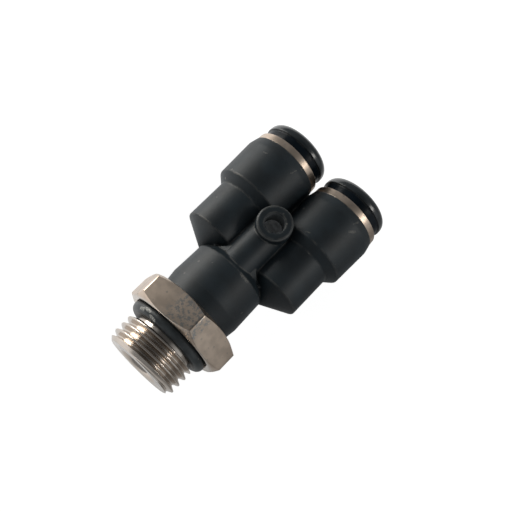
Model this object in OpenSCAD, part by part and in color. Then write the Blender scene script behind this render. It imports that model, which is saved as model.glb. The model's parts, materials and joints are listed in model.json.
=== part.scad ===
// Male Y push-in fitting for air tube: a swivelling G 1/4 stud with a face seal,
// a moulded body and two parallel tube sockets, each with its own release sleeve.
// Y runs from the thread to the tube mouths, X across the two sockets and Z up
// through the boss. The origin is the centre of the hexagon's sealing face.

/* [Thread end] */
// Major diameter of the pipe thread
thread_d = 13.157; // [12.8:0.01:13.5]
// Length from the sealing face to the end of the thread
thread_l = 7.1; // [6.8:0.1:9]
// Bevel at the thread's free end
thread_bevel = 0.8; // [0.4:0.1:1.2]
// Diameter of the plain relief that carries the face seal
relief_d = 10.6; // [10.4:0.1:11.3]
// Length from the sealing face to the full thread
relief_l = 2.24; // [2.1:0.02:2.6]
// Cord thickness of the face seal
face_cord = 2.1; // [1.6:0.1:2.2]
// Depth of the seal's seat in the hexagon's face
seat_deep = 0.6; // [0.4:0.05:0.8]
// Height of the cone from the relief up to the thread
thread_lead = 0.2; // [0.1:0.05:0.4]
// Diameter of the flow bore through the stud
stud_bore_d = 6; // [5:0.1:6.3]

/* [Hexagon] */
// Width across the flats, a 17 mm spanner
hex_af = 17; // [16:0.5:19]
// Thickness of the hexagon
hex_h = 4.9; // [4:0.1:6]
// Slope of the bevels on the hexagon's corners
hex_slope = 30; // [20:1:40]
// Distance by which the bevels start inside the flats
hex_land = 0.2; // [0.1:0.05:0.4]
// Angle at which the hexagon stands in its swivel
hex_turn = 14.5; // [0:0.5:60]

/* [Swivel stem] */
// Diameter of the stem that turns in the body
stem_d = 9.8; // [9.5:0.1:10]
// Length of the stem beyond the hexagon
stem_l = 7.5; // [7.2:0.1:7.8]
// Running clearance of the stem, on the radius
stem_gap = 0.05; // [0.02:0.01:0.09]
// Cord thickness of the stem seal
stem_cord = 1.3; // [1:0.05:1.4]
// Distance from the stem's end to the middle of its seal groove
stem_seal_in = 2; // [1.6:0.1:2.4]
// Thickness of the snap ring that holds the stem
clip_t = 0.8; // [0.6:0.05:1]
// Radial width of the snap ring
clip_w = 1.1; // [0.9:0.05:1.3]
// Distance from the hexagon to the snap ring
clip_in = 1.6; // [1.2:0.1:2]
// Opening in the snap ring
clip_split = 2.2; // [1:0.1:4]

/* [Body] */
// Running gap between the hexagon and the body
swivel_gap = 0.1; // [0.05:0.01:0.3]
// Diameter of the barrel at its mouth, beside the hexagon
barrel_mouth_d = 12.9; // [12.6:0.1:13.4]
// Largest diameter of the barrel
barrel_d = 13.58; // [13.4:0.01:14.4]
// Diameter of the barrel at its shoulder
barrel_top_d = 13.25; // [13:0.05:14]
// Height over which the barrel's mouth widens
mouth_h = 2.6; // [1.5:0.1:3.5]
// Length of the barrel
barrel_l = 8.37; // [8.2:0.01:9]
// Diameter at which the rounded shoulder ends
shoulder_d = 10.6; // [9.6:0.1:11.4]
// Height of the shoulder
shoulder_h = 1.3; // [0.8:0.1:1.6]
// Thickness of the web round the flow channels
web_t = 5; // [4.6:0.1:6]
// Half width at which that web starts from the barrel
web_start = 3.4; // [3:0.1:4]
// Thickness of the web between the two mouths
slim_t = 3; // [2:0.1:4]
// Half width of the round rib along the middle
rib_r = 3.15; // [2.8:0.05:3.4]
// Height of the rib's crest above the body's middle
rib_z = 6; // [5.2:0.1:6.4]
// How far the rib's foot flares out on each side
rib_flare = 1.1; // [0.6:0.1:1.3]
// Height of that flare
flare_h = 1.7; // [1.2:0.1:2]
// Diameter of the boss on the rib
boss_d = 6; // [5.2:0.1:6.4]
// Height of the boss above the body's middle
boss_z = 7.1; // [6.6:0.1:7.5]
// Distance from the sealing face to the boss
boss_y = 22.8; // [21.5:0.1:23.5]
// Bevel round the boss
boss_bevel = 0.28; // [0.2:0.02:0.6]
// Diameter of the recess in the boss
recess_d = 3.25; // [2.6:0.05:3.6]
// Depth of the recess in the boss
recess_deep = 3.3; // [2:0.1:3.6]
// Bevel at the recess's mouth
recess_bevel = 0.16; // [0.1:0.02:0.3]
// Radius of the body's outer edges
edge_r = 0.22; // [0.1:0.02:0.3]
// Diameter of the flow channels
channel_d = 3.3; // [2.6:0.1:3.4]

/* [Tube sockets] */
// Distance between the two sockets' axes
port_pitch = 13.2; // [12.9:0.05:13.6]
// Outer diameter of the tube that goes in
tube_d = 6; // [5.6:0.05:6.2]
// Diameter of the lower part of each socket
foot_d = 10.1; // [9.6:0.1:10.6]
// Distance from the sealing face to the socket's lower edge
foot_y = 16.1; // [15.6:0.1:16.8]
// Slope of the conical end below that edge
foot_slope = 30; // [24:1:34]
// Distance from the sealing face to the start of the step
step_y = 23.7; // [23.2:0.1:24]
// Height of the conical step
step_h = 1.36; // [1.1:0.02:1.6]
// Diameter just above the step
port_d = 13.04; // [12.8:0.02:13.4]
// Diameter near the socket's mouth
port_top_d = 13.5; // [13.3:0.02:13.9]
// Distance from the sealing face to the socket's end
port_y = 33.47; // [33:0.01:34.2]
// Diameter of the socket's end face
port_end_d = 12.84; // [12.8:0.02:13.2]
// Height of the rounded end of the socket
port_round = 1.5; // [0.8:0.1:1.8]
// Radius of that rounding
mouth_r = 2.4; // [1:0.1:3]
// Distance from the sealing face to the stop inside
stop_y = 20.7; // [20:0.1:21.4]
// Play of the tube in its pocket, on the radius
tube_gap = 0.05; // [0.02:0.01:0.1]
// Fitting gap round every pressed ring, on the radius
press_gap = 0.02; // [0.01:0.01:0.04]

/* [Seal and grip] */
// Depth of the seal chamber below the socket's end
chamber_in = 8.64; // [8.5:0.02:8.7]
// Diameter of the seal chamber
seal_d = 9.8; // [9.4:0.1:10]
// Height of the lip seal
seal_h = 2.2; // [1.8:0.1:2.4]
// How far the free lips reach into the tube's path
lip_in = 0.12; // [0.05:0.01:0.2]
// Height of the backing ring
back_h = 1.8; // [1.6:0.1:2]
// Wall of the backing ring
back_wall = 0.35; // [0.3:0.05:0.45]
// Diameter of the cartridge bore above the seal
grip_d = 10.5; // [10.3:0.05:10.8]
// Sheet thickness of the toothed grab ring
tooth_t = 0.3; // [0.2:0.02:0.32]
// Number of teeth on the grab ring
tooth_n = 10; // [6:1:14]
// Width of the slots between the teeth
tooth_slot = 0.55; // [0.3:0.05:0.8]
// How far the free teeth reach into the tube's path
tooth_in = 0.05; // [0.02:0.01:0.1]
// Slope of the teeth into the socket
tooth_slope = 40; // [34:1:43]
// Height of the guide ring
guide_h = 2.6; // [2.4:0.1:2.8]
// Thickness of the lip that catches the sleeve's bead
lip_t = 0.6; // [0.4:0.1:0.8]

/* [Collar and release sleeve] */
// Outer diameter of the metal collar
collar_d = 12.78; // [12.6:0.02:12.9]
// Height of the collar beyond the socket
collar_h = 1.22; // [0.9:0.02:1.3]
// Wall of the collar's rim
collar_wall = 0.34; // [0.25:0.01:0.4]
// Narrowing of the collar's rim, on the diameter
collar_draft = 0.16; // [0:0.02:0.3]
// Thickness of the collar's floor
floor_t = 0.28; // [0.2:0.02:0.4]
// Depth of the floor below the socket's end
floor_in = 0.2; // [0.1:0.02:0.4]
// Stroke of the release sleeve
stroke = 1.2; // [0.8:0.05:1.3]
// Distance from the socket's end to the sleeve's band
band_up = 2.7; // [2.5:0.02:3]
// Diameter of the sleeve's band
band_d = 12.44; // [12.3:0.02:12.9]
// Narrowing of the sleeve's skirt towards the collar, on the diameter
skirt_draft = 0.8; // [0:0.1:1.2]
// Height of the band
band_h = 1.98; // [1.8:0.02:2.6]
// Radius of the band's rounded top
band_round = 1.5; // [0.8:0.1:1.6]
// Sliding clearance of the sleeve, on the radius
slide_gap = 0.06; // [0.03:0.01:0.1]
// Play of the tube in the sleeve, on the radius
sleeve_gap = 0.08; // [0.05:0.01:0.15]
// Wall of the sleeve
sleeve_wall = 0.92; // [0.8:0.02:1]
// Depth of the bead that keeps the sleeve in
bead = 0.32; // [0.2:0.02:0.36]
// Width of the slits in the sleeve's nose
slit_w = 0.7; // [0.4:0.05:1]

/* [Hidden] */
$fn = 96;
// Overrun of every cut
over = 1;
// Steps in each rounded corner
arc_n = 4;

thread_r = thread_d / 2;
relief_r = relief_d / 2;
seat_r = relief_r + 2 * press_gap + face_cord;
face_seal_y = seat_deep - press_gap - face_cord / 2;
hex_top = hex_h;
hex_corner_r = hex_af / 2 / cos(30);
hex_land_r = hex_af / 2 - hex_land;

stem_r = stem_d / 2;
stem_top = hex_top + stem_l;
stem_bore_r = stem_r + stem_gap;
stem_seal_y = stem_top - stem_seal_in;
clip_y = hex_top + clip_in;
clip_out_r = stem_r + clip_w / 2;
clip_in_r = clip_out_r - clip_w;

mouth_y = hex_top + swivel_gap;
barrel_y = mouth_y + barrel_l;
shoulder_y = barrel_y + shoulder_h;
plenum_y = stem_top + swivel_gap;

foot_r = foot_d / 2;
port_r = port_d / 2;
step_top = step_y + step_h;
cone_y = foot_y - foot_r * tan(foot_slope);
port_x = port_pitch / 2;
socket_r = tube_d / 2 + tube_gap;

seal_r = seal_d / 2;
seal_y = port_y - chamber_in;
back_y = seal_y + seal_h;
grip_r = grip_d / 2;
grip_y = back_y + back_h;
guide_y = grip_y + tooth_t;
spigot_y = guide_y + guide_h;
floor_y = port_y - floor_in;
floor_top = floor_y + floor_t;
rim_y = port_y + collar_h;

sleeve_in_r = tube_d / 2 + sleeve_gap;
sleeve_r = sleeve_in_r + sleeve_wall;
guide_r = sleeve_r + slide_gap;
bead_r = sleeve_r + bead;
pocket_r = bead_r + slide_gap;
collar_in_r = collar_d / 2 - collar_wall - collar_draft / 2;
skirt_r = collar_in_r - slide_gap;
skirt_y = floor_top + stroke + slide_gap;
band_r = band_d / 2;
band_y = port_y + band_up;
sleeve_top = band_y + band_h;
lip_y = spigot_y - lip_t;

// the teeth run from their root down to their tips
tip_r = tube_d / 2 - tooth_in;
root_r = seal_r - back_wall - 2 * press_gap - tooth_t * tan(tooth_slope / 2);

// the nose stands clear of the teeth by the stroke, the bead clear of the grab ring
nose_r = sleeve_in_r + sleeve_wall / 3;
nose_y = guide_y - (root_r - nose_r) * tan(tooth_slope) + stroke + slide_gap;
bead_y = guide_y + stroke + slide_gap;

// Outlines with rounded corners

function unit(v) = v / norm(v);
function turn(d) = d > 180 ? d - 360 : d < -180 ? d + 360 : d;

// the arc that rounds the corner b between a and c
function corner(a, b, c, r) =
    r <= 0 ? [b] :
    let (u = unit(a - b), v = unit(c - b), half = acos(u * v) / 2,
         p = b + u * r / tan(half), q = b + v * r / tan(half),
         m = b + unit(u + v) * r / sin(half),
         start = atan2(p.y - m.y, p.x - m.x),
         sweep = turn(atan2(q.y - m.y, q.x - m.x) - start))
    [for (i = [0:arc_n]) m + r * [cos(start + sweep * i / arc_n), sin(start + sweep * i / arc_n)]];

// an outline given as [[x, y, corner radius], ...]
function rounded(pts) =
    let (n = len(pts), xy = [for (p = pts) [p.x, p.y]])
    [for (i = [0:n - 1]) each corner(xy[(i + n - 1) % n], xy[i], xy[(i + 1) % n], pts[i].z)];

// turns a profile of [radius, height] points about the Y axis
module lathe(pts) rotate([-90, 0, 0]) rotate_extrude() polygon(rounded(pts));

// a plain round piece along Y
module rod(y0, y1, r) translate([0, y0, 0]) rotate([-90, 0, 0]) cylinder(h = y1 - y0, r = r);

// a ring with a rectangular section
module ring(y0, y1, r0, r1) lathe([[r0, y0, 0], [r1, y0, 0], [r1, y1, 0], [r0, y1, 0]]);

// a cord ring
module cord_ring(y, r, cord) translate([0, y, 0]) rotate([-90, 0, 0])
    rotate_extrude() translate([r, 0]) circle(d = cord);

module at_port(side) translate([side * port_x, 0, 0]) children();

// The swivelling stud

module hexagon() {
    reach = (hex_corner_r - hex_land_r) * tan(hex_slope);
    wide = hex_corner_r + over;
    drop = (wide - hex_land_r) * tan(hex_slope);
    intersection() {
        rotate([-90, 0, 0]) rotate([0, 0, -hex_turn]) cylinder(h = hex_h, r = hex_corner_r, $fn = 6);
        lathe([[0, 0, 0], [hex_land_r, 0, 0], [wide, drop, 0],
               [wide, hex_top - drop, 0], [hex_land_r, hex_top, 0], [0, hex_top, 0]]);
    }
}

module male_stud() color([0.62, 0.56, 0.5]) difference() {
    union() {
        hexagon();
        lathe([[0, -thread_l, 0], [thread_r - thread_bevel, -thread_l, 0],
               [thread_r, thread_bevel - thread_l, 0], [thread_r, -relief_l, 0],
               [relief_r, thread_lead - relief_l, 0], [relief_r, hex_h / 2, 0], [0, hex_h / 2, 0]]);
        lathe([[0, hex_h / 2, 0], [stem_r, hex_h / 2, 0], [stem_r, stem_top, edge_r], [0, stem_top, 0]]);
    }
    rod(-thread_l - over, stem_top + over, stud_bore_d / 2);
    ring(-seat_deep, seat_deep, relief_r, seat_r);
    ring(stem_seal_y - stem_cord / 2 - stem_gap, stem_seal_y + stem_cord / 2 + stem_gap,
         stem_bore_r - 2 * stem_gap - stem_cord, stem_r + over);
    ring(clip_y - stem_gap, clip_y + clip_t + stem_gap, clip_in_r - stem_gap, stem_r + over);
}

module face_seal() color([0.05, 0.05, 0.06])
    cord_ring(face_seal_y, relief_r + press_gap + face_cord / 2, face_cord);

module stem_seal() color([0.05, 0.05, 0.06])
    cord_ring(stem_seal_y, stem_bore_r - stem_gap / 2 - stem_cord / 2, stem_cord);

module snap_ring() color([0.75, 0.75, 0.76]) difference() {
    ring(clip_y, clip_y + clip_t, clip_in_r, clip_out_r);
    translate([-clip_split / 2, clip_y - over, 0]) cube([clip_split, clip_t + 2 * over, clip_out_r + over]);
}

// The moulded body

module barrel() lathe([
    [0, mouth_y, 0], [barrel_mouth_d / 2, mouth_y, edge_r],
    [barrel_d / 2, mouth_y + mouth_h, edge_r], [barrel_top_d / 2, barrel_y, edge_r],
    [shoulder_d / 2, shoulder_y, edge_r], [0, shoulder_y, 0]]);

module port_outer() lathe([
    [0, cone_y, 0], [foot_r, foot_y, edge_r], [foot_r, step_y, edge_r],
    [port_r, step_top, edge_r], [port_top_d / 2, port_y - port_round, mouth_r],
    [port_end_d / 2, port_y, edge_r / 2], [0, port_y, 0]]);

// thick where the channels run, slim between the mouths
module web() {
    translate([0, 0, -web_t / 2]) linear_extrude(web_t) polygon([
        [-web_start, barrel_y], [web_start, barrel_y], [port_x, foot_y], [port_x, stop_y],
        [-port_x, stop_y], [-port_x, foot_y]]);
    translate([-port_x, stop_y - over, -slim_t / 2])
        cube([port_pitch, port_y - port_round - stop_y + over, slim_t]);
}

// the half-round rib and the boss, the same on the upper and the lower face
module rib_and_boss() for (flip = [0, 180]) rotate([0, flip, 0]) {
    translate([0, barrel_y, rib_z - rib_r]) rod(-edge_r, boss_y - barrel_y, rib_r);
    intersection() {
        translate([0, 0, rib_z - rib_r]) lathe([
            [0, barrel_y, 0], [rib_r + rib_flare, barrel_y, 0], [rib_r + rib_flare, shoulder_y, edge_r / 2],
            [rib_r + rib_flare / 4, shoulder_y + flare_h / 2, flare_h],
            [rib_r - edge_r, shoulder_y + flare_h, 0], [0, shoulder_y + flare_h, 0]]);
        rod(barrel_y - edge_r, shoulder_y + flare_h + over, shoulder_d / 2);
    }
    translate([0, boss_y, 0]) rotate_extrude() polygon(rounded([
        [0, 0, 0], [boss_d / 2, 0, 0], [boss_d / 2, boss_z - boss_bevel, edge_r / 2],
        [boss_d / 2 - boss_bevel, boss_z, edge_r / 2], [0, boss_z, 0]]));
}

module channel(side) {
    bend_y = stop_y - channel_d / 2;
    rise = bend_y - stem_top;
    lean = port_x - channel_d / 2;
    translate([side * channel_d / 2, stem_top, 0]) rotate([0, 0, -side * atan2(lean, rise)])
        rod(0, norm([lean, rise]), channel_d / 2);
    at_port(side) rod(bend_y - channel_d / 4, stop_y + over, channel_d / 2);
}

module port_inner() {
    rod(stop_y, port_y, socket_r);
    rod(seal_y, port_y, seal_r);
    rod(grip_y, port_y, grip_r);
    rod(floor_y, port_y + over, collar_in_r + press_gap);
}

module y_body() color([0.13, 0.14, 0.15]) difference() {
    union() {
        barrel();
        web();
        rib_and_boss();
        for (side = [-1, 1]) at_port(side) port_outer();
    }
    rod(mouth_y - over, plenum_y, stem_bore_r);
    rod(stem_top, plenum_y + channel_d / 4, stud_bore_d / 2);
    ring(clip_y - stem_gap, clip_y + clip_t + stem_gap, stem_r - over, clip_out_r + stem_gap);
    for (side = [-1, 1]) {
        channel(side);
        at_port(side) port_inner();
    }
    for (flip = [0, 180]) rotate([0, flip, 0]) translate([0, boss_y, boss_z]) {
        translate([0, 0, -recess_deep]) cylinder(h = recess_deep + over, d = recess_d);
        translate([0, 0, -recess_bevel])
            cylinder(h = recess_bevel + over, d1 = recess_d, d2 = recess_d + 2 * (recess_bevel + over));
    }
}

// What each socket holds, from the stop to the mouth

// lip seal with a groove between its inner and outer lip, open to the pressure
module tube_seal() color([0.06, 0.06, 0.07]) {
    in_r = tube_d / 2;
    out_r = seal_r - press_gap;
    mid_r = (in_r + out_r) / 2;
    lip = (out_r - in_r) / 4;
    lathe([[in_r + lip, seal_y + lip, 0], [in_r - lip_in, seal_y + lip / 2, 0],
           [in_r + lip / 2, seal_y, 0], [mid_r - lip / 2, seal_y + lip, 0],
           [mid_r, seal_y + seal_h / 2, 0], [mid_r + lip / 2, seal_y + lip, 0],
           [out_r - lip / 2, seal_y, 0], [out_r, seal_y + lip, 0],
           [out_r, back_y, 0], [in_r + lip, back_y, 0]]);
}

module backing_ring() color([0.85, 0.83, 0.76]) {
    out_r = seal_r - press_gap;
    lathe([[tube_d / 2 + 2 * sleeve_gap, back_y, 0], [out_r, back_y, 0], [out_r, grip_y, 0],
           [out_r - back_wall, grip_y, 0], [out_r - back_wall, back_y + back_wall, 0],
           [tube_d / 2 + 2 * sleeve_gap, back_y + back_wall, 0]]);
}

// stainless ring whose slanted teeth bite the tube
module grab_ring() color([0.78, 0.78, 0.8]) {
    fall = (root_r - tip_r) * tan(tooth_slope);
    skew = tooth_t / cos(tooth_slope);
    difference() {
        lathe([[tip_r, guide_y - fall, 0], [tip_r + tooth_t / 2, guide_y - fall - skew / 2, 0],
               [root_r, grip_y, 0], [grip_r - press_gap, grip_y, 0],
               [grip_r - press_gap, guide_y, 0], [root_r, guide_y, 0]]);
        for (i = [0:tooth_n - 1]) rotate([0, (i + 0.5) * 360 / tooth_n, 0])
            translate([0, guide_y - fall - skew - over, -tooth_slot / 2])
                cube([root_r, fall + skew + 2 * over, tooth_slot]);
    }
}

// keeps the grab ring down and catches the sleeve's bead
module guide_ring() color([0.82, 0.8, 0.74]) lathe([
    [pocket_r, guide_y, 0], [grip_r - press_gap, guide_y, 0], [grip_r - press_gap, spigot_y, 0],
    [guide_r, spigot_y, 0], [guide_r, lip_y, 0], [pocket_r, lip_y, 0]]);

// pressed into the mouth, with a shallow cup that the sleeve sinks into
module metal_collar() color([0.6, 0.52, 0.44]) lathe([
    [guide_r, spigot_y, 0], [grip_r - press_gap, spigot_y, 0], [grip_r - press_gap, floor_y, 0],
    [collar_in_r, floor_y, 0], [collar_in_r, port_y, 0], [collar_d / 2, port_y, 0],
    [collar_d / 2 - collar_draft / 2, rim_y, collar_wall / 3],
    [collar_in_r, rim_y, collar_wall / 4], [collar_in_r, floor_top, 0], [guide_r, floor_top, 0]]);

module release_sleeve() color([0.1, 0.1, 0.11]) difference() {
    lathe([[sleeve_in_r, nose_y, 0], [nose_r, nose_y, 0],
           [sleeve_r, nose_y + sleeve_r - nose_r, 0], [sleeve_r, bead_y, 0], [bead_r, bead_y + bead, 0],
           [bead_r, lip_y - slide_gap, 0], [sleeve_r, lip_y - slide_gap, 0], [sleeve_r, skirt_y, 0],
           [skirt_r - skirt_draft / 2, skirt_y, edge_r / 2], [skirt_r, band_y, 0],
           [band_r, band_y, edge_r / 2], [band_r, sleeve_top, band_round],
           [sleeve_in_r + sleeve_wall / 2, sleeve_top, edge_r],
           [sleeve_in_r, sleeve_top - sleeve_wall, edge_r]]);
    for (i = [0:1]) rotate([0, 45 + 90 * i, 0])
        translate([-bead_r - over, nose_y - over, -slit_w / 2])
            cube([2 * (bead_r + over), spigot_y - nose_y + over, slit_w]);
}

y_body();
male_stud();
face_seal();
stem_seal();
snap_ring();
at_port(-1) tube_seal();  // tube_seal_a
at_port(-1) backing_ring();  // backing_ring_a
at_port(-1) grab_ring();  // grab_ring_a
at_port(-1) guide_ring();  // guide_ring_a
at_port(-1) metal_collar();  // metal_collar_a
at_port(-1) release_sleeve();  // release_sleeve_a
at_port(1) tube_seal();  // tube_seal_b
at_port(1) backing_ring();  // backing_ring_b
at_port(1) grab_ring();  // grab_ring_b
at_port(1) guide_ring();  // guide_ring_b
at_port(1) metal_collar();  // metal_collar_b
at_port(1) release_sleeve();  // release_sleeve_b
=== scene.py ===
# %% [markdown]
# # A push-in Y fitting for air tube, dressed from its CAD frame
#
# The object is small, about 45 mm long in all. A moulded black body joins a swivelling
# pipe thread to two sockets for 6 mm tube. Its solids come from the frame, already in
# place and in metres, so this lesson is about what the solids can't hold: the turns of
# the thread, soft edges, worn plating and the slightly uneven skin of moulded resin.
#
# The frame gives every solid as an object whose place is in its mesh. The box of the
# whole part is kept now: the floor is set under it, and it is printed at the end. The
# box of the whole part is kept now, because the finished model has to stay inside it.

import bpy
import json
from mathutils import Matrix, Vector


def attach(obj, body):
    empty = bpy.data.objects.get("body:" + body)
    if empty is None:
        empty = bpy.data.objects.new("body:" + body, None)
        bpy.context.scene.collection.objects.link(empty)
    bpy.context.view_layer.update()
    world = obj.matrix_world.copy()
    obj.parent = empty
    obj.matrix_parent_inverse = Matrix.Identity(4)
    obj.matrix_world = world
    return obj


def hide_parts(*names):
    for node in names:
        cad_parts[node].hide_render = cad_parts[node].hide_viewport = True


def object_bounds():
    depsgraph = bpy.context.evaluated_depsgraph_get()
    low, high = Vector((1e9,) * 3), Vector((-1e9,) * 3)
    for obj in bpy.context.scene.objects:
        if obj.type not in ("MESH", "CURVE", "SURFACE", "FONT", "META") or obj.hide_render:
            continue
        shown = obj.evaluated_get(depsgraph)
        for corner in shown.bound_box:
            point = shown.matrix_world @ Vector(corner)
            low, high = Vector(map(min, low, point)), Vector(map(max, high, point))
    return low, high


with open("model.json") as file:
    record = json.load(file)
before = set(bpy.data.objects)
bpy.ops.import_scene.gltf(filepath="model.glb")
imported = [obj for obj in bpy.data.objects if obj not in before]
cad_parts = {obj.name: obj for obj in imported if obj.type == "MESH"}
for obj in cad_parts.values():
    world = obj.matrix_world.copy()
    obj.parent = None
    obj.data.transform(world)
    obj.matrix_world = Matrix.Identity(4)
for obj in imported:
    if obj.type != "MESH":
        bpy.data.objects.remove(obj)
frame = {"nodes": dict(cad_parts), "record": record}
cad_box = [[round(float(c), 6) for c in corner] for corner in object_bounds()]

import json

import bpy
import numpy as np
from mathutils import Matrix, Vector

MM = 0.001
solids = frame["nodes"]

# %% [markdown]
# ## The camera
#
# A camera could be turned by hand until the picture fits. Here its place was solved from
# the outlines of the part: the thread gives the scale, the round edges give the tilt. So
# the camera is written down as a place and three directions of the picture: right, down
# and ahead. Blender's camera looks along its own -Z with +Y up, so two of them are turned
# round before they become the columns of its matrix.

# %% Camera
camera_place = Vector((13.360, -18.937, 127.503)) * MM
camera_right = Vector((0.72478, 0.67675, 0.12924))
camera_down = Vector((0.68256, -0.67974, -0.26846))
camera_ahead = Vector((-0.09383, 0.28278, -0.95458))

camera_data = bpy.data.cameras.new("camera")
camera_data.sensor_width = 36.0
camera_data.lens = 57.67
camera_data.clip_start, camera_data.clip_end = 0.005, 10.0
camera = bpy.data.objects.new("camera", camera_data)
bpy.context.scene.collection.objects.link(camera)
turn = Matrix((camera_right, -camera_down, -camera_ahead)).transposed()
camera.matrix_world = Matrix.Translation(camera_place) @ turn.to_4x4()
bpy.context.scene.camera = camera
bpy.context.scene.view_settings.view_transform = "Standard"
print("camera", [round(c, 4) for c in camera.location], "lens", camera_data.lens)

# %% [markdown]
# ## Helpers for surfaces
#
# Nearly everything on such a fitting is turned or moulded round an axis. So the shapes
# here are grids: one parameter runs along a profile, the other round the axis. A grid of
# points becomes a mesh in one step, with a face between every four neighbours. Where the
# grid closes on itself the last row is joined to the first, so no seam stays open.

# %% Grid to mesh
def grid_faces(rows, columns, rows_close=True, columns_close=True):
    """Corner numbers of the four-sided faces of a grid: each face takes a point, the
    next point in its row, and the same two points of the next row."""
    r = np.arange(rows if rows_close else rows - 1)[:, None]
    c = np.arange(columns if columns_close else columns - 1)[None, :]
    r_next, c_next = (r + 1) % rows, (c + 1) % columns
    corners = [r * columns + c, r * columns + c_next,
               r_next * columns + c_next, r_next * columns + c]
    return np.stack(corners, axis=-1).reshape(-1, 4)


def make_piece(name, parts, sharp_deg=35.0):
    """One mesh object from a list of (points, faces, lids), in millimetres of the frame.
    A part's corner numbers move up by the number of points in the parts before it."""
    clouds = [points.reshape(-1, 3) for points, _, _ in parts]
    faces, first = [], 0
    for cloud, (_, quads, lids) in zip(clouds, parts):
        faces += (quads + first).tolist() + [(lid + first).tolist() for lid in lids]
        first += len(cloud)
    mesh = bpy.data.meshes.new(name)
    mesh.from_pydata((np.concatenate(clouds) * MM).tolist(), [], faces)
    mesh.polygons.foreach_set("use_smooth", np.ones(len(mesh.polygons), dtype=bool))
    mesh.set_sharp_from_angle(angle=np.radians(sharp_deg))
    mesh.validate()
    piece = bpy.data.objects.new(name, mesh)
    bpy.context.scene.collection.objects.link(piece)
    print(name, len(mesh.polygons), "faces")
    return piece


# %% [markdown]
# Blender's Spin or Screw could turn a profile too. Here the turning is one sum over whole
# arrays, which also lets the radius change with the angle: a thread and a hexagon need
# just that. Where the sweep stops short of a full turn, a flat lid closes each end.

# %% Turning a profile round the Y axis
def turned(radius, height, centre_x=0.0, start=0.0, sweep=2 * np.pi, columns=192):
    """A closed profile carried round an axis along Y. The point of row k at angle a lies
    at x = centre + radius_k * cos a, y = height_k, z = radius_k * sin a. Radius and
    height may also change with the angle. The sign of the profile's area says which way
    its rows run, and they are turned round if faces would point inwards."""
    whole = abs(sweep - 2 * np.pi) < 1e-9
    a = start + sweep * (np.arange(columns) / (columns if whole else columns - 1))
    size = (len(radius), columns)
    r = np.broadcast_to(np.asarray(radius, float).reshape(len(radius), -1), size)
    y = np.broadcast_to(np.asarray(height, float).reshape(len(height), -1), size)
    mean_r, mean_y = r.mean(axis=1), y.mean(axis=1)
    area = np.sum(mean_r * np.roll(mean_y, -1) - np.roll(mean_r, -1) * mean_y)
    if area > 0:
        r, y = r[::-1], y[::-1]
    points = np.stack([centre_x + r * np.cos(a), y, r * np.sin(a)], axis=-1)
    first_end = np.arange(len(r)) * columns
    lids = [] if whole else [first_end, first_end[::-1] + columns - 1]
    return [(points, grid_faces(len(r), columns, True, whole), lids)]


def eased(points, steps=6):
    """A profile of (radius, height, rounding) corners with an arc in each: the arc
    leaves one side and meets the other at equal distances from the corner."""
    p = np.array([q[:2] for q in points], float)
    out = []
    for k, (_, _, rounding) in enumerate(points):
        if rounding <= 0:
            out.append(p[k][None, :])
            continue
        u = p[k - 1] - p[k]
        v = p[(k + 1) % len(p)] - p[k]
        u, v = u / np.linalg.norm(u), v / np.linalg.norm(v)
        half = np.arccos(np.clip(u @ v, -1, 1)) / 2
        middle = p[k] + (u + v) / np.linalg.norm(u + v) * rounding / np.sin(half)
        first = p[k] + u * rounding / np.tan(half) - middle
        last = p[k] + v * rounding / np.tan(half) - middle
        t = np.linspace(0, 1, steps + 1)[:, None]
        opening = np.pi - 2 * half
        arc = (np.sin((1 - t) * opening) * first + np.sin(t * opening) * last) / np.sin(opening)
        out.append(middle + arc)
    return np.concatenate(out)


# %% [markdown]
# ## The swivelling stud
#
# On the real part this is a turned piece of plated brass: pipe thread, a plain neck for
# the face seal, a hexagon for the spanner and a stem that turns inside the body. A thread
# could be made as a separate coil, but then its root would cross the core. Here the
# radius of one surface changes with angle and height together, so the turns, the neck
# and the bevel at the free end are one skin.
#
# The thread wave is a triangle with a flat top and bottom. It moves forward by one pitch
# in each turn, which is all that makes a helix. At both ends the wave is cut by a cone,
# as the lathe tool does it.

# %% Thread shape
THREAD_R, PITCH, THREAD_DEEP = 6.5785, 1.337, 0.856
THREAD_END, BEVEL, NECK_R, NECK_L = -7.1, 0.8, 5.3, 2.04
THREAD_PHASE = 0.10
# half the height of a sharp thread at 55 degrees, the power that flattens its crests and
# roots, and the slope of its run-out into the neck
SHARP_HALF, SQUEEZE, NECK_STEEP = 0.48 * PITCH, 8, 5.0
ROWS, HAIR = 110, 0.01

COLUMNS = 384
angle = 2 * np.pi * np.arange(COLUMNS) / COLUMNS


def thread_radius(height):
    """Radius over angle and height. The phase is height over pitch plus angle over one
    turn. A triangle wave of the phase, scaled to the full flank height and squeezed
    between crest and root, is added to the middle radius."""
    phase = (height[:, None] / PITCH + angle[None, :] / (2 * np.pi) + THREAD_PHASE) % 1.0
    triangle = 1 - 2 * np.abs(2 * phase - 1)
    flank = SHARP_HALF * triangle / (THREAD_DEEP / 2)
    squeezed = flank / (1 + np.abs(flank) ** SQUEEZE) ** (1 / SQUEEZE)
    radius = THREAD_R - THREAD_DEEP / 2 + THREAD_DEEP / 2 * squeezed
    free_cone = THREAD_R - BEVEL + (height - THREAD_END)
    neck_cone = NECK_R + (-NECK_L - height) * NECK_STEEP
    return np.minimum(radius, np.minimum(free_cone, neck_cone)[:, None])


thread_rows = np.linspace(THREAD_END + 2 * HAIR, -NECK_L - HAIR, ROWS)
thread_r = thread_radius(thread_rows)
print("thread turns", round((thread_rows[-1] - thread_rows[0]) / PITCH, 2),
      "radius", round(float(thread_r.min()), 2), "to", round(float(thread_r.max()), 2))

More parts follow.
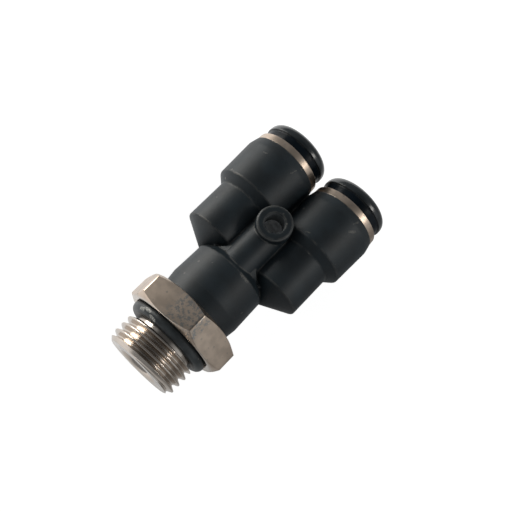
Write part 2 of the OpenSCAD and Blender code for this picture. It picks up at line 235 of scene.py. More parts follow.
# %% [markdown]
# The hexagon uses the same idea. Its radius at an angle is half the width across flats
# divided by the largest cosine to the six face directions. Instead of the largest, a
# high power mean is taken, which rounds each corner a little, as milling and plating do.
# The bevels are a cone at 30 degrees: the height at which a flat begins depends on how
# far out the hexagon reaches there, and that gives the curved lines on each flat. Each
# edge between bevel and flat is eased by three rows: one before it, one close, one after.

# %% Hexagon shape
HEX_FLATS, HEX_H, HEX_TURN = 17.0, 4.9, np.radians(14.5)
LAND_R, BEVEL_RISE = 8.3, np.tan(np.radians(30))
POWER, SOFT = 300, 0.06
NEAR_R, NEAR_Y = SOFT * 0.2, SOFT * 0.25

face_turns = HEX_TURN + np.pi / 6 + np.arange(3) * np.pi / 3
cosines = np.abs(np.cos(angle[:, None] - face_turns[None, :])) ** POWER
hex_r = HEX_FLATS / 2 / cosines.sum(axis=1) ** (1 / POWER)
flat_starts = (hex_r - LAND_R) * BEVEL_RISE

hex_rows = [
    (np.full(COLUMNS, LAND_R - SOFT), np.zeros(COLUMNS)),
    (np.full(COLUMNS, LAND_R + SOFT), np.full(COLUMNS, SOFT * BEVEL_RISE)),
    (hex_r - SOFT, flat_starts - SOFT * BEVEL_RISE),
    (hex_r - NEAR_R, flat_starts + NEAR_Y),
    (hex_r, flat_starts + SOFT),
    (hex_r, HEX_H - flat_starts - SOFT),
    (hex_r - NEAR_R, HEX_H - flat_starts - NEAR_Y),
    (hex_r - SOFT, HEX_H - flat_starts + SOFT * BEVEL_RISE),
    (np.full(COLUMNS, LAND_R + SOFT), np.full(COLUMNS, HEX_H - SOFT * BEVEL_RISE)),
    (np.full(COLUMNS, LAND_R - SOFT), np.full(COLUMNS, HEX_H)),
]
print("hexagon corners at", round(float(hex_r.max()), 2), "mm")

# %% [markdown]
# The rest of the stud is plain turning: the bore with its bevelled mouth, the seat that
# is cut into the hexagon for the face seal, and the stem with a groove each for the snap
# ring and the cord seal. All rows together, from the bore's mouth out over the thread and
# hexagon and back along the stem, are one closed profile. A bevel gets a row close to
# each of its edges, which keeps smooth shading from spreading over the flat faces.

# %% Stud assembled from its rows
BORE_R, MOUTH_BEVEL, EDGE = 3.0, 0.7, 0.04
SEAT_R, SEAT_DEEP, SEAT_EDGE, SEAT_LIP = 7.44, 0.6, 0.1, 0.05
STEM_R, STEM_TOP, STEM_BEVEL, STEM_MOUTH = 4.9, 12.4, 0.25, 0.2
CLIP_Y, CLIP_T, CLIP_IN_R = 6.5, 0.8, 4.35
SEAL_Y, SEAL_CORD, SEAL_IN_R = 10.4, 1.3, 3.55
GAP = 0.05

mouth_y = THREAD_END + MOUTH_BEVEL
face_r = THREAD_R - BEVEL - 0.05  # just inside the cone of the thread's bevel
rows_before_thread = [
    (BORE_R, mouth_y + EDGE), (BORE_R + EDGE, mouth_y - EDGE),
    (BORE_R + MOUTH_BEVEL - EDGE, THREAD_END + EDGE), (BORE_R + MOUTH_BEVEL + EDGE, THREAD_END),
    (face_r - 2 * EDGE, THREAD_END), (face_r, THREAD_END)]
rows_of_neck = [
    (NECK_R, -NECK_L), (NECK_R, SEAT_DEEP - SEAT_EDGE), (NECK_R + SEAT_EDGE, SEAT_DEEP),
    (SEAT_R - SEAT_EDGE, SEAT_DEEP), (SEAT_R, SEAT_DEEP - SEAT_EDGE),
    (SEAT_R, SEAT_LIP), (SEAT_R + SEAT_LIP, 0.0)]
rows_of_stem = [
    (STEM_R, HEX_H), (STEM_R, CLIP_Y - GAP), (CLIP_IN_R - GAP, CLIP_Y - GAP),
    (CLIP_IN_R - GAP, CLIP_Y + CLIP_T + GAP), (STEM_R, CLIP_Y + CLIP_T + GAP),
    (STEM_R, SEAL_Y - SEAL_CORD / 2 - GAP), (SEAL_IN_R, SEAL_Y - SEAL_CORD / 2 - GAP),
    (SEAL_IN_R, SEAL_Y + SEAL_CORD / 2 + GAP), (STEM_R, SEAL_Y + SEAL_CORD / 2 + GAP),
    (STEM_R, STEM_TOP - STEM_BEVEL), (STEM_R - STEM_BEVEL, STEM_TOP),
    (BORE_R + STEM_MOUTH, STEM_TOP), (BORE_R, STEM_TOP - STEM_MOUTH)]


def as_rows(pairs):
    """Plain (radius, height) pairs, each the same at all angles."""
    return [(np.full(COLUMNS, r), np.full(COLUMNS, y)) for r, y in pairs]


thread_pairs = [(r, np.full(COLUMNS, y)) for r, y in zip(thread_r, thread_rows)]
stud_rows = (as_rows(rows_before_thread) + thread_pairs + as_rows(rows_of_neck)
             + hex_rows + as_rows(rows_of_stem))
stud_radius = np.stack([r for r, _ in stud_rows])
stud_height = np.stack([y for _, y in stud_rows])
stud = make_piece("stud", turned(stud_radius, stud_height, columns=COLUMNS), 50.0)
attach(stud, "stud")
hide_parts("male_stud")

# %% [markdown]
# ## The release sleeves
#
# The black ring at each mouth is pressed to let the tube go. It is one moulding: a thin
# nose with four slits inside the socket, a bead that keeps it in, and the round band one
# pushes on. The solids show it with a few flat steps in its rounded rim, which catches
# the light in stripes, so it is turned again here with fine arcs. The slits are left
# open by sweeping the nose in four separate arcs and closing their ends with lids.

# %% Sleeve profiles
PORT_X = 6.6
SLEEVE_IN, SLEEVE_OUT, BEAD_R, BEAD_RISE = 3.08, 4.0, 4.32, 0.32
NOSE_Y, NOSE_R, NOSE_RISE = 29.542, 3.387, 0.613
BEAD_Y, LIP_Y, SLIT_TOP, SLIT_W = 30.393, 31.073, 31.733, 0.7
SKIRT_Y, SKIRT_LOW_R, SKIRT_R = 34.81, 5.66, 5.8
BAND_Y, BAND_R, BAND_TOP = 36.2, 6.03, 38.08
CROWN_IN, CROWN_DEEP, OVERLAP = 3.54, 0.83, 0.001

nose_profile = np.array([
    (SLEEVE_IN, NOSE_Y), (NOSE_R, NOSE_Y), (SLEEVE_OUT, NOSE_Y + NOSE_RISE),
    (SLEEVE_OUT, BEAD_Y), (BEAD_R, BEAD_Y + BEAD_RISE), (BEAD_R, LIP_Y),
    (SLEEVE_OUT, LIP_Y), (SLEEVE_OUT, SLIT_TOP), (SLEEVE_IN, SLIT_TOP)])
crown_profile = eased([
    (SLEEVE_IN, SLIT_TOP - OVERLAP, 0), (SLEEVE_OUT, SLIT_TOP - OVERLAP, 0),
    (SLEEVE_OUT, SKIRT_Y, 0.1), (SKIRT_LOW_R, SKIRT_Y, 0.11), (SKIRT_R, BAND_Y, 0),
    (BAND_R, BAND_Y, 0.07), (BAND_R, BAND_TOP, 1.4), (CROWN_IN, BAND_TOP, 0.22),
    (SLEEVE_IN, BAND_TOP - CROWN_DEEP, 0.22)], steps=10)


def release_sleeve(name, centre_x, body, node):
    """The crown goes all the way round, and the nose in four arcs. Half a slit takes the
    angle whose sine is half its width over the nose's radius, off both ends of an arc."""
    parts = turned(crown_profile[:, 0], crown_profile[:, 1], centre_x)
    half_slit = np.arcsin(SLIT_W / 2 / SLEEVE_OUT)
    for k in range(4):
        start = np.pi / 4 + k * np.pi / 2 + half_slit
        parts += turned(nose_profile[:, 0], nose_profile[:, 1], centre_x,
                        start, np.pi / 2 - 2 * half_slit, columns=24)
    piece = make_piece(name, parts)
    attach(piece, body)
    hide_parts(node)
    return piece


sleeves = [release_sleeve("sleeve_a_turned", -PORT_X, "sleeve_a", "release_sleeve_a"),
           release_sleeve("sleeve_b_turned", PORT_X, "sleeve_b", "release_sleeve_b")]

# %% [markdown]
# ## Finishes
#
# A finish is a small network of nodes. It could be drawn by hand in the shader editor,
# but the same effects come back on several materials: a fine grain, small light specks,
# edges that have lost their first skin, and short rub marks. So each effect is a node
# group with named inputs and outputs, made once, and every material places the groups
# with its own numbers. The groups put out masks, values and normals only, and the shader
# itself stays in the material.

# %% Helpers for node networks
def add(tree, kind, inputs=None, **settings):
    """One node. Settings are its own properties; an input is a number, a colour or
    another node's output, which is then linked."""
    node = tree.nodes.new(kind)
    for key, value in settings.items():
        setattr(node, key, value)
    for key, value in (inputs or {}).items():
        if isinstance(value, bpy.types.NodeSocket):
            tree.links.new(value, node.inputs[key])
        else:
            node.inputs[key].default_value = value
    return node


def maths(tree, operation, first, second=0.0, clamp=False):
    """One sum on two values, as its output."""
    inputs = {0: first, 1: second}
    return add(tree, "ShaderNodeMath", inputs, operation=operation, use_clamp=clamp).outputs[0]


def vectors(tree, operation, inputs):
    """One sum on vectors. Its output is a vector, or a value where the sum is a dot
    product, a distance or a length."""
    node = add(tree, "ShaderNodeVectorMath", inputs, operation=operation)
    gives_value = operation in ("DOT_PRODUCT", "DISTANCE", "LENGTH")
    return node.outputs["Value" if gives_value else "Vector"]


def ramp(tree, value, low, high, out_low=0.0, out_high=1.0):
    """Goes smoothly from one output to the other while a value goes from low to high."""
    inputs = {0: value, 1: low, 2: high, 3: out_low, 4: out_high}
    return add(tree, "ShaderNodeMapRange", inputs, interpolation_type="SMOOTHSTEP").outputs[0]


def noise(tree, place, scale, detail, roughness=0.5):
    """Cloudy noise with that many clouds to the metre; returns its value and colour."""
    inputs = {"Vector": place, "Scale": scale, "Detail": detail, "Roughness": roughness}
    return add(tree, "ShaderNodeTexNoise", inputs).outputs


def split(tree, place):
    """The three coordinates of a place, as outputs X, Y and Z."""
    return add(tree, "ShaderNodeSeparateXYZ", {"Vector": place}).outputs


# %% [markdown]
# Colours are always laid over each other in the same way, so three short helpers do that.
# A pale mark is one colour over another where its mask is 1. The slow drift of a finish
# runs between a darker and a lighter tone of its own colour. Two more helpers make a node
# group and place it.

# %% Helpers for colours and groups
def opaque(colour, share=1.0):
    """A colour times a share, at most 1, with nothing see-through."""
    return tuple(min(c * share, 1.0) for c in colour) + (1.0,)


def lay_over(tree, below, colour, mask, share=None):
    """Puts a colour over another: result = below + mask * share * (colour - below)."""
    factor = mask if share is None else maths(tree, "MULTIPLY", mask, share)
    inputs = {0: factor, 6: below, 7: opaque(colour)}
    return add(tree, "ShaderNodeMix", inputs, data_type="RGBA").outputs[2]


def drifting(tree, value, low, high, colour, darker, lighter):
    """A colour that goes from its darker to its lighter share as a value rises."""
    factor = ramp(tree, value, low, high)
    return lay_over(tree, opaque(colour, darker), opaque(colour, lighter)[:3], factor)


def new_group(name, inputs, outputs):
    """An empty node group with named sockets; returns its tree, its input and output."""
    tree = bpy.data.node_groups.new(name, "ShaderNodeTree")
    kinds = {"value": "NodeSocketFloat", "vector": "NodeSocketVector"}
    for key, (kind, start) in inputs.items():
        socket = tree.interface.new_socket(key, in_out="INPUT", socket_type=kinds[kind])
        if start is not None:
            socket.default_value = start
    for key, kind in outputs.items():
        tree.interface.new_socket(key, in_out="OUTPUT", socket_type=kinds[kind])
    return tree, tree.nodes.new("NodeGroupInput").outputs, tree.nodes.new("NodeGroupOutput")


def use_group(tree, group, inputs):
    """Places a shared group in a material; returns its outputs."""
    return add(tree, "ShaderNodeGroup", inputs, node_tree=group).outputs


# %% [markdown]
# **Grain** is cloudy at two sizes: a slow drift of tone over a few millimetres, as resin
# flows in the mould, and a fine speckle that breaks up the highlight. A texture picture
# could do this too, but noise needs no unwrapping and has no seams.

# %% Group: grain
tree, given, result = new_group(
    "grain", {"Place": ("vector", None), "Fine": ("value", 4000.0), "Slow": ("value", 300.0)},
    {"Fine": "value", "Slow": "value"})
fine = noise(tree, given["Place"], given["Fine"], 4.0, 0.6)
slow = noise(tree, given["Place"], given["Slow"], 2.0)
tree.links.new(fine["Fac"], result.inputs["Fine"])
tree.links.new(slow["Fac"], result.inputs["Slow"])
grain_group = tree
print(tree.name, len(tree.nodes), "nodes")

# %% [markdown]
# **Specks** are the little marks that handling leaves on dark resin and plating. Dots
# could be scattered as tiny faces, but here each is the middle of a cell of a Voronoi
# texture. The cell's own random colour says whether it is kept and how strong it is, and
# a noise bends the places, so that no speck is a perfect circle.

# %% Group: specks
tree, given, result = new_group(
    "specks", {"Place": ("vector", None), "Scale": ("value", 900.0), "Size": ("value", 0.12),
               "Amount": ("value", 0.2)}, {"Mask": "value"})
wobble = noise(tree, given["Place"], 2500.0, 2.0)["Color"]
shift = vectors(tree, "SCALE", {0: wobble, "Scale": 0.0003})
bent = vectors(tree, "ADD", {0: given["Place"], 1: shift})
cells = add(tree, "ShaderNodeTexVoronoi", {"Vector": bent, "Scale": given["Scale"]}).outputs
inside = maths(tree, "SUBTRACT", given["Size"], cells["Distance"])
chosen = add(tree, "ShaderNodeSeparateColor", {"Color": cells["Color"]}).outputs
kept = maths(tree, "LESS_THAN", chosen[0], given["Amount"])
strength = maths(tree, "MULTIPLY", ramp(tree, inside, 0.0, 0.05), kept)
tree.links.new(maths(tree, "MULTIPLY", strength, chosen[1]), result.inputs["Mask"])
specks_group = tree
print(tree.name, len(tree.nodes), "nodes")

# %% [markdown]
# ** Edge wear and glint** compares the true direction of the surface with one that is rounded
# over a small radius. They differ only near an edge. The difference, broken up by noise, is
# the mask for a paler line: worn plating on the metal, and on the resin worn edges that are
# also a painted highlight where rounded edges catch the light. The rounded direction comes
# out too, and softens the edge's light.

# %% Group: edge wear and painted glint
tree, given, result = new_group(
    "edge wear and glint", {"Place": ("vector", None), "Radius": ("value", 0.0002), "Reach": ("value", 0.06)},
    {"Mask": "value", "Normal": "vector"})
rounded = add(tree, "ShaderNodeBevel", {"Radius": given["Radius"]}, samples=8).outputs[0]
true_way = add(tree, "ShaderNodeNewGeometry").outputs["Normal"]
alike = vectors(tree, "DOT_PRODUCT", {0: rounded, 1: true_way})
bare = maths(tree, "DIVIDE", maths(tree, "SUBTRACT", 1.0, alike), given["Reach"], clamp=True)
patchy = ramp(tree, noise(tree, given["Place"], 900.0, 3.0)["Fac"], 0.35, 0.6)
tree.links.new(maths(tree, "MULTIPLY", bare, patchy), result.inputs["Mask"])
tree.links.new(rounded, result.inputs["Normal"])
edge_wear_glint_group = tree
print(tree.name, len(tree.nodes), "nodes")

# %% [markdown]
# ** Scuff and glint** is one short pale mark at a chosen place: a rub mark, and on some edges
# a painted highlight. It could be a strip of mesh laid on the surface, but a mask needs no
# fitting: it is everything near a line through the mark's centre, bent and broken up by
# noise. The line is given by its centre and by half its length as a vector.

# %% Group: scuff and painted glint
tree, given, result = new_group(
    "scuff", {"Place": ("vector", None), "Centre": ("vector", None), "Along": ("vector", None),
              "Width": ("value", 0.0001)}, {"Mask": "value"})
# the place moves up to 0.3 mm each way, so the line wanders
wander = vectors(tree, "SUBTRACT", {0: noise(tree, given["Place"], 1800.0, 2.0)["Color"],
                                    1: (0.5, 0.5, 0.5)})
drawn = vectors(tree, "SCALE", {0: wander, "Scale": 0.0006})
bent = vectors(tree, "ADD", {0: given["Place"], 1: drawn})
# the nearest point of the line is its share of the half length, from -1 to 1
from_centre = vectors(tree, "SUBTRACT", {0: bent, 1: given["Centre"]})
onto = vectors(tree, "DOT_PRODUCT", {0: from_centre, 1: given["Along"]})
square = vectors(tree, "DOT_PRODUCT", {0: given["Along"], 1: given["Along"]})
share = maths(tree, "MINIMUM", maths(tree, "DIVIDE", onto, square), 1.0)
nearest = vectors(tree, "SCALE", {0: given["Along"], "Scale": maths(tree, "MAXIMUM", share, -1.0)})
off_line = vectors(tree, "DISTANCE", {0: from_centre, 1: nearest})
widths_off = maths(tree, "DIVIDE", off_line, given["Width"])
nearness = ramp(tree, maths(tree, "SUBTRACT", 1.0, widths_off, clamp=True), 0.0, 0.7)
torn = ramp(tree, noise(tree, given["Place"], 6000.0, 3.0)["Fac"], 0.34, 0.52)
tree.links.new(maths(tree, "MULTIPLY", nearness, torn), result.inputs["Mask"])
scuff_glint_group = tree
print(tree.name, len(tree.nodes), "nodes")


def scuffs_and_glints_on(tree, place, marks):
    """The strongest of several scuffs and painted glints, each (centre, half its length, width) in mm.
    """
    mask = None
    for centre, along, width in marks:
        one = use_group(tree, scuff_glint_group, {
            "Place": place, "Centre": [c * MM for c in centre],
            "Along": [c * MM for c in along], "Width": width * MM})["Mask"]
        mask = one if mask is None else maths(tree, "MAXIMUM", mask, one)
    return mask


# %% [markdown]
# Every material starts in the same way. Patterns could be placed with UV maps or with
# world coordinates. Object coordinates need no unwrapping, and they stay on a piece when
# it moves, because each piece's origin moves with it. Roughness and relief also follow
# one rule on all finishes, so one helper sets both.

# %% Starting and closing a material
def new_material(name):
    """A material: itself, its network, its shader and the place on the object."""
    material = bpy.data.materials.new(name)
    material.use_nodes = True
    tree = material.node_tree
    shader = tree.nodes["Principled BSDF"]
    place = tree.nodes.new("ShaderNodeTexCoord").outputs["Object"]
    print("finish", name)
    return material, tree, shader, place


def give_skin(tree, shader, lowest, swing, waves, height, deep, normal=None):
    """Roughness = lowest + swing * waves. The relief is the height times a depth in
    metres, on top of the surface's own direction or of a rounded one."""
    rough = maths(tree, "ADD", lowest, maths(tree, "MULTIPLY", waves, swing))
    tree.links.new(rough, shader.inputs["Roughness"])
    inputs = {"Height": height, "Distance": deep, "Strength": 1.0}
    if normal is not None:
        inputs["Normal"] = normal
    relief = add(tree, "ShaderNodeBump", inputs)
    tree.links.new(relief.outputs[0], shader.inputs["Normal"])


# %% [markdown]
# ## Moulded resin
#
# The body is glass-filled resin: nearly black with a cool tint, satin, with a broad dull
# sheen where it turns away from the light. So the colour stays dark and the roughness
# does the work. Pale specks sit on top, with worn edge lines and rub marks that are partly
# painted highlights, where rounded edges catch the light.

# %% Resin for body and sleeves
# the pale resin tone below is for worn edges and rub marks, and also a painted highlight on rounded
# edges and some marks
PALE_SPECK, WORN_GLINT_RESIN = (0.3, 0.28, 0.25), (0.2, 0.19, 0.17)
RESIN_SWING, RUB_GLINT_SHARE = 0.16, 0.6


def resin(name, colour, roughness, pale, edge_share, bump, marks):
    """Colour: a drift between 0.72 and 1.35 of the tone, then specks, worn edges and marks
    over it, each by its mask times its share. The worn edges and marks are partly wear and
    rub marks and partly painted highlights. Roughness swings with the fine grain, which is
    also the relief, less the specks."""
    material, tree, shader, place = new_material(name)
    grain = use_group(tree, grain_group, {"Place": place, "Fine": 5200.0, "Slow": 260.0})
    specks = use_group(tree, specks_group, {"Place": place, "Scale": 700.0, "Size": 0.17,
                                            "Amount": 0.1})["Mask"]
    edges = use_group(tree, edge_wear_glint_group, {"Place": place, "Radius": 0.0004, "Reach": 0.02})
    base = drifting(tree, grain["Slow"], 0.3, 0.7, colour, 0.72, 1.35)
    speckled = lay_over(tree, base, PALE_SPECK, specks, pale)
    # worn edges, partly a painted highlight on rounded edges; then rub marks and painted glints
    edges_worn_glinting = lay_over(tree, speckled, WORN_GLINT_RESIN, edges["Mask"], edge_share)
    rubs_and_glints = lay_over(tree, edges_worn_glinting, WORN_GLINT_RESIN, scuffs_and_glints_on(tree, place, marks), RUB_GLINT_SHARE)
    pits = maths(tree, "ADD", grain["Fine"], maths(tree, "MULTIPLY", specks, -1.0))
    give_skin(tree, shader, roughness - RESIN_SWING / 2, RESIN_SWING, grain["Fine"], pits, bump,
              edges["Normal"])
    shader.inputs["IOR"].default_value = 1.5
    return material, tree, shader, place, rubs_and_glints


# %% [markdown]
# The boss carries painted light. Its sunk face is painted nearly white as painted light in the
# shaded recess, the wall of the recess is painted paler as painted fill light, and a pale
# line on the rim is a painted highlight of its bevel. These could be faces with materials of
# their own. As masks, cut out by the distance from the boss's axis and by the height, they
# leave the solid's mesh as it came.

# %% Material: body resin
# centre, half length and width of each mark on the body: rub marks, while the long marks on the
# edges of foot A and step A and the one on the barrel's rim are painted highlights
BODY_RUBS_AND_GLINTS = [
    ((-9.23, 30.69, 6.17), (0.36, 0.06, 0.17), 0.14), ((-3.84, 31.44, 6.14), (0.16, 0.75, -0.07), 0.12),
    ((-3.40, 33.03, 5.68), (0.10, 0.02, -0.05), 0.16), ((9.58, 30.87, 6.01), (0.30, 0.35, -0.14), 0.30),
    ((9.06, 32.40, 6.12), (0.16, 0.40, -0.07), 0.24), ((2.51, 13.20, 6.14), (0.64, 0.00, -0.29), 0.42),
    ((-4.73, 7.49, 4.84), (0.05, 0.05, 0.05), 0.18), ((5.88, 9.59, 3.27), (0.02, 0.10, -0.04), 0.14),
    ((-8.95, 16.14, 4.50), (1.35, 0.00, 0.70), 0.24), ((-10.22, 25.08, 5.43), (1.50, 0.00, 1.00), 0.26),
    ((4.59, 25.72, 6.22), (0.30, 0.16, 0.10), 0.16), ((-2.62, 11.48, 6.14), (0.06, 0.02, 0.02), 0.12)]
BOSS_Y, SUNK_R, SUNK_Z, WALL_R, WALL_Z = 22.8, 1.6, 4.2, 1.68, 6.9
RIM_R, RIM_W, RIM_Z = 2.87, 0.1, 6.4
# painted highlight for the rim, painted light for the wall of the recess and for its sunk face
PAINTED_GLINT_RIM, PAINTED_LIGHT_WALL, PAINTED_LIGHT_FACE = (0.13, 0.13, 0.125), (0.13, 0.14, 0.145), (0.9, 0.9, 0.9)

body_resin, tree, shader, place, rubs_and_glints = resin(
    "body resin", (0.011, 0.018, 0.023), 0.5, 0.5, 0.35, 0.000004, BODY_RUBS_AND_GLINTS)
axes = split(tree, place)
off_axis = add(tree, "ShaderNodeCombineXYZ", {
    "X": axes["X"], "Y": maths(tree, "SUBTRACT", axes["Y"], BOSS_Y * MM)}).outputs[0]
from_axis = vectors(tree, "LENGTH", {0: off_axis})
high = maths(tree, "ABSOLUTE", axes["Z"])


def pocket(radius, top):
    """1 inside a cylinder round the boss's axis that ends at a height, and 0 outside:
    one comparison of the distance times one of the height."""
    return maths(tree, "MULTIPLY", maths(tree, "LESS_THAN", from_axis, radius * MM),
                 maths(tree, "LESS_THAN", high, top * MM))


uneven = ramp(tree, noise(tree, place, 1500.0, 2.0)["Fac"], 0.3, 0.7, 0.6, 1.0)
off_rim = maths(tree, "ABSOLUTE", maths(tree, "SUBTRACT", from_axis, RIM_R * MM))
rim_line = maths(tree, "SUBTRACT", 1.0, maths(tree, "DIVIDE", off_rim, RIM_W * MM), clamp=True)
rim = maths(tree, "MULTIPLY", maths(tree, "MULTIPLY", rim_line, uneven),
            maths(tree, "GREATER_THAN", high, RIM_Z * MM))
sunk_painted_light = maths(tree, "MULTIPLY", pocket(SUNK_R, SUNK_Z), uneven)
# painted highlight on the rim, painted fill light on the recess wall, painted light on the sunk face
rim_painted_glint = lay_over(tree, rubs_and_glints, PAINTED_GLINT_RIM, rim)
wall_painted_light = lay_over(tree, rim_painted_glint, PAINTED_LIGHT_WALL, pocket(WALL_R, WALL_Z))
tree.links.new(lay_over(tree, wall_painted_light, PAINTED_LIGHT_FACE, sunk_painted_light), shader.inputs["Base Color"])
print(len(BODY_RUBS_AND_GLINTS), "rubs and glints;", len(tree.nodes), "nodes")

# %% [markdown]
# The sleeves are of a darker resin. Under the band the skirt is dull and deep black, and
# the band itself is paler and polished. A second material could do that, but the shader's
# clear coat may change over a surface, so its weight rises from 0 to 1 at the height where
# the band begins, and so does the paler tone. Two small pale marks on the bands are
# painted highlights.

# %% Material: sleeve resin
# painted highlights: two small pale marks on the bands, where the window's reflection lies
SLEEVE_GLINTS = [((-6.9, 36.8, 6.1), (0.2, 0.1, 0.0), 0.1), ((9.4, 36.9, 5.4), (0.2, 0.1, -0.1), 0.1)]
BLUR, BAND_TONE = 0.04, (0.014, 0.019, 0.022)

sleeve_resin, tree, shader, place, rubs_and_glints = resin(
    "sleeve resin", (0.006, 0.010, 0.015), 0.25, 0.25, 0.12, 0.0000015, SLEEVE_GLINTS)
# the band, above the skirt, gets the clear coat and a paler tone than the skirt
band_share = ramp(tree, split(tree, place)["Y"], (BAND_Y - BLUR) * MM, (BAND_Y + BLUR) * MM)
tree.links.new(band_share, shader.inputs["Coat Weight"])
shader.inputs["Coat Roughness"].default_value = 0.22
shader.inputs["Specular IOR Level"].default_value = 0.14
band_toned = lay_over(tree, rubs_and_glints, BAND_TONE, band_share, 0.8)
tree.links.new(band_toned, shader.inputs["Base Color"])

# %% [markdown]
# ## Plated brass
#
# Nickel over brass reads as a warm grey metal. The turned thread is whiter and shines
# more than the milled hexagon, whose upper flat is darkened by grey clouds: painted shade
# that makes the flat facing up read darker. A metal shows its surroundings, so most of the
# difference between two flats comes from the light and not from the colour.

# %% Materials: plated metals
DARK_SPOT, WORN_PLATING = (0.2, 0.21, 0.2), (0.85, 0.76, 0.66)
GREY_CLOUD_SHADE, FRESH_PLATING = (0.25, 0.275, 0.29), (0.60, 0.55, 0.50)
CLOUD_SHADE_SHARE, FRESH_SHARE, TURNED_SWING = 0.7, 0.75, 0.12
# the grey clouds of painted shade begin and are full at these heights; milling starts just past the
# sealing face
CLOUDS_FROM, CLOUDS_FULL, MILLED_FROM = 8.0, 8.4, 0.3


def plated(name, colour, roughness, fine_lines, spots, edge_share, turned_rough=None):
    """Colour: a drift between 0.86 and 1.06 of the tone, dark spots, and worn edges. The
    turning marks are a noise with 40 clouds to the metre across the axis and thousands
    along it, so that each is a fine ring; they are the relief and swing the roughness.
    Only the stud has a turned_rough, its thread's roughness. It also has grey clouds of
    painted shade on its upper flat, and is whiter from the sealing face to the thread's end."""
    material, tree, shader, place = new_material(name)
    grain = use_group(tree, grain_group, {"Place": place, "Fine": 3500.0, "Slow": 500.0})
    specks = use_group(tree, specks_group, {"Place": place, "Scale": 1500.0, "Size": 0.3,
                                            "Amount": 0.3})["Mask"]
    edges = use_group(tree, edge_wear_glint_group, {"Place": place, "Radius": 0.00006, "Reach": 0.08})
    base = drifting(tree, grain["Slow"], 0.35, 0.65, colour, 0.86, 1.06)
    tone = lay_over(tree, base, DARK_SPOT, specks, spots)
    lowest = roughness - TURNED_SWING / 2
    if turned_rough is not None:
        axes = split(tree, place)
        upper_flat = ramp(tree, axes["Z"], CLOUDS_FROM * MM, CLOUDS_FULL * MM)
        clouds = ramp(tree, noise(tree, place, 1900.0, 5.0, 0.7)["Fac"], 0.47, 0.58)
        # painted shade: grey clouds darken the upper flat
        shaded_flat = maths(tree, "MULTIPLY", clouds, upper_flat)
        tone = lay_over(tree, tone, GREY_CLOUD_SHADE, shaded_flat, CLOUD_SHADE_SHARE)
        fresh = ramp(tree, axes["Y"], 0.0, MILLED_FROM * MM, FRESH_SHARE, 0.0)
        tone = lay_over(tree, tone, FRESH_PLATING, fresh)
        lowest = ramp(tree, axes["Y"], 0.0, MILLED_FROM * MM, turned_rough - TURNED_SWING / 2, lowest)
    tone = lay_over(tree, tone, WORN_PLATING, edges["Mask"], edge_share)
    tree.links.new(tone, shader.inputs["Base Color"])
    stretched = add(tree, "ShaderNodeMapping", {"Vector": place, "Scale": (40.0, fine_lines, 40.0)})
    lines = noise(tree, stretched.outputs[0], 1.0, 3.0)["Fac"]
    give_skin(tree, shader, lowest, TURNED_SWING, lines, lines, 0.000001, edges["Normal"])
    shader.inputs["Metallic"].default_value = 1.0
    return material


nickel_brass = plated("nickel on brass", (0.61, 0.495, 0.40), 0.32, 6000.0, 0.5, 0.15, 0.16)
collar_metal = plated("collar plating", (0.58, 0.47, 0.38), 0.31, 9000.0, 0.5, 0.3)
spring_steel = plated("spring steel", (0.66, 0.66, 0.67), 0.25, 7000.0, 0.1, 0.3)

# %% [markdown]
# ## Rubber and pale resin
#
# The seals are black nitrile rubber, a little greyer than the resin and soft in its
# highlight. The inner rings are natural acetal, seen only down the sockets. Both are
# plain, so they share one small network. The face seal also has three pale rub marks on
# its left side, which are partly a painted highlight of that side.

# %% Materials: rubber and acetal
DUST, PALE_RUB_GLINT, SOFT_SWING = (0.5, 0.48, 0.45), (0.55, 0.54, 0.50), 0.14
# rub marks on the face seal's left side, partly a painted highlight there
SEAL_RUBS_AND_GLINTS = [((-4.4, -0.6, 6.0), (0.4, 0.0, 0.3), 0.35), ((-3.0, -1.2, 6.5), (0.4, -0.1, 0.15), 0.35),
              ((-5.2, -0.9, 4.9), (0.2, 0.0, 0.3), 0.4)]


def plain_soft(name, colour, roughness, dusty, marks=()):
    """Colour: a drift between 0.8 and 1.3 of the tone, with specks of dust and any rub marks
    over it; on the face seal these marks are partly a painted highlight. The fine grain is
    the relief and swings the roughness."""
    material, tree, shader, place = new_material(name)
    grain = use_group(tree, grain_group, {"Place": place, "Fine": 6000.0, "Slow": 700.0})
    specks = use_group(tree, specks_group, {"Place": place, "Scale": 1100.0, "Size": 0.22,
                                            "Amount": 0.25})["Mask"]
    base = drifting(tree, grain["Slow"], 0.35, 0.7, colour, 0.8, 1.3)
    tone = lay_over(tree, base, DUST, specks, dusty)
    if marks:
        tone = lay_over(tree, tone, PALE_RUB_GLINT, scuffs_and_glints_on(tree, place, marks))
    tree.links.new(tone, shader.inputs["Base Color"])
    waves = grain["Fine"]
    give_skin(tree, shader, roughness - SOFT_SWING / 2, SOFT_SWING, waves, waves, 0.000003)
    return material


nitrile = plain_soft("nitrile rubber", (0.04, 0.047, 0.05), 0.4, 0.5, SEAL_RUBS_AND_GLINTS)
acetal = plain_soft("natural acetal", (0.72, 0.70, 0.62), 0.45, 0.1)

# %% [markdown]
# The record names a slot for each solid, so the finishes go on by slot. The solids'
# meshes stay as they are, and only their list of materials is filled again.

# %% Finishes onto pieces
finishes = {"body_resin": body_resin, "sleeve_resin": sleeve_resin, "nickel_brass": nickel_brass,
            "collar_metal": collar_metal, "spring_steel": spring_steel,
            "nitrile_rubber": nitrile, "natural_resin": acetal}
for part in frame["record"]["subparts"]:
    mesh = solids[part["node"]].data
    mesh.materials.clear()
    mesh.materials.append(finishes[part["material_slot"]])
stud.data.materials.append(nickel_brass)
for sleeve in sleeves:
    sleeve.data.materials.append(sleeve_resin)
print(len(finishes), "finishes on", len(solids) + 1 + len(sleeves), "pieces")

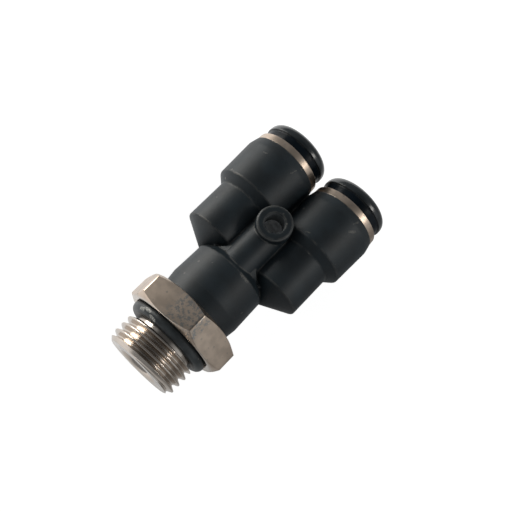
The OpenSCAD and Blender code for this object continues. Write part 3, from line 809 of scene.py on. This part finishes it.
# %% [markdown]
# ## Floor and light
#
# The part lies on a pale floor. More light would make the floor white, but also wash out
# the part. Instead the floor glows for the camera and in reflections only, which the
# light path tells apart. In reflections it glows most on the -X side, where the light
# comes from. The rest is real light on a pale surface, so the part keeps its shadow.

# %% Floor
FLOOR_Z, FLOOR_HALF = cad_box[0][2] / MM - 0.02, 900.0
CAMERA_GLOW, LEFT_GLOW, RIGHT_GLOW, GLOW_REACH = 0.88, 0.85, 0.05, 30.0
floor_points = np.array([(-1, -1), (1, -1), (1, 1), (-1, 1)], float) * FLOOR_HALF
floor_points = np.column_stack([floor_points, np.full(4, FLOOR_Z)])
floor = make_piece("floor", [(floor_points, np.array([[0, 1, 2, 3]]), [])])

floor_material = bpy.data.materials.new("floor")
floor_material.use_nodes = True
tree = floor_material.node_tree
tree.nodes.remove(tree.nodes["Principled BSDF"])
matte = add(tree, "ShaderNodeBsdfDiffuse", {"Color": (0.5, 0.5, 0.5, 1.0)})
path = add(tree, "ShaderNodeLightPath").outputs
mirrored = maths(tree, "MAXIMUM", path["Is Glossy Ray"], path["Is Transmission Ray"])
across = split(tree, add(tree, "ShaderNodeTexCoord").outputs["Object"])["X"]
lit_side = ramp(tree, across, -GLOW_REACH * MM, GLOW_REACH * MM, LEFT_GLOW, RIGHT_GLOW)
strength = maths(tree, "ADD", maths(tree, "MULTIPLY", path["Is Camera Ray"], CAMERA_GLOW),
                 maths(tree, "MULTIPLY", mirrored, lit_side))
glow = add(tree, "ShaderNodeEmission", {"Color": (1, 1, 1, 1), "Strength": strength})
both = add(tree, "ShaderNodeAddShader", {0: matte.outputs[0], 1: glow.outputs[0]})
tree.links.new(both.outputs[0], tree.nodes["Material Output"].inputs["Surface"])
floor.data.materials.append(floor_material)

# %% [markdown]
# A soft box is an area lamp. Its power is worked out from the brightness wanted on its
# face, so that a box can grow without getting stronger. The key stands low on the -X
# side, the upper left of the picture, and the window higher on the other side. Both are
# wide and near enough to give the black resin broad, soft highlights.

# %% Soft boxes
AIM = Vector((0.0, 15.0, 0.0)) * MM


def soft_box(name, direction, distance, width, height, brightness, colour):
    """An area lamp facing the part. Power = brightness * pi * area."""
    lamp = bpy.data.lights.new(name, "AREA")
    lamp.shape = "RECTANGLE"
    lamp.size, lamp.size_y = width * MM, height * MM
    lamp.energy = brightness * np.pi * lamp.size * lamp.size_y
    lamp.color = colour
    thing = bpy.data.objects.new(name, lamp)
    way = Vector(direction).normalized()
    thing.location = AIM + way * distance * MM
    thing.rotation_euler = way.to_track_quat("Z", "Y").to_euler()
    bpy.context.scene.collection.objects.link(thing)
    print(name, round(lamp.energy, 3), "W")


soft_box("key", (-1.0, 0.08, 0.2), 220, 90, 140, 7.5, (1.0, 0.98, 0.93))
soft_box("window", (0.70, 0.42, 0.57), 300, 70, 70, 8.0, (1.0, 0.97, 0.92))

# %% [markdown]
# The world stands for the room, which fills the shadows and shows in the metal. One even
# grey would do, but a real room is darker overhead, and black resin seen from above
# mirrors just that. So the strength falls towards the top, and rises towards +X.

# %% World
world = bpy.data.worlds.new("studio")
world.use_nodes = True
tree = world.node_tree
way = split(tree, add(tree, "ShaderNodeTexCoord").outputs["Generated"])
# from about 50 to 68 degrees above the horizon the strength falls from 0.26 to 0.07
dim_above = ramp(tree, way["Z"], 0.76, 0.93, 0.26, 0.07)
more_right = ramp(tree, way["X"], 0.6, 0.95, 1.0, 2.1)
background = tree.nodes["Background"]
tree.links.new(maths(tree, "MULTIPLY", dim_above, more_right), background.inputs["Strength"])
background.inputs["Color"].default_value = (0.93, 0.97, 1.0, 1.0)
bpy.context.scene.world = world
print("world", len(tree.nodes), "nodes")

# %% [markdown]
# ## The box of the solids
#
# The box of the solids is printed.

# %% Box of the solids
print("cad", cad_box)
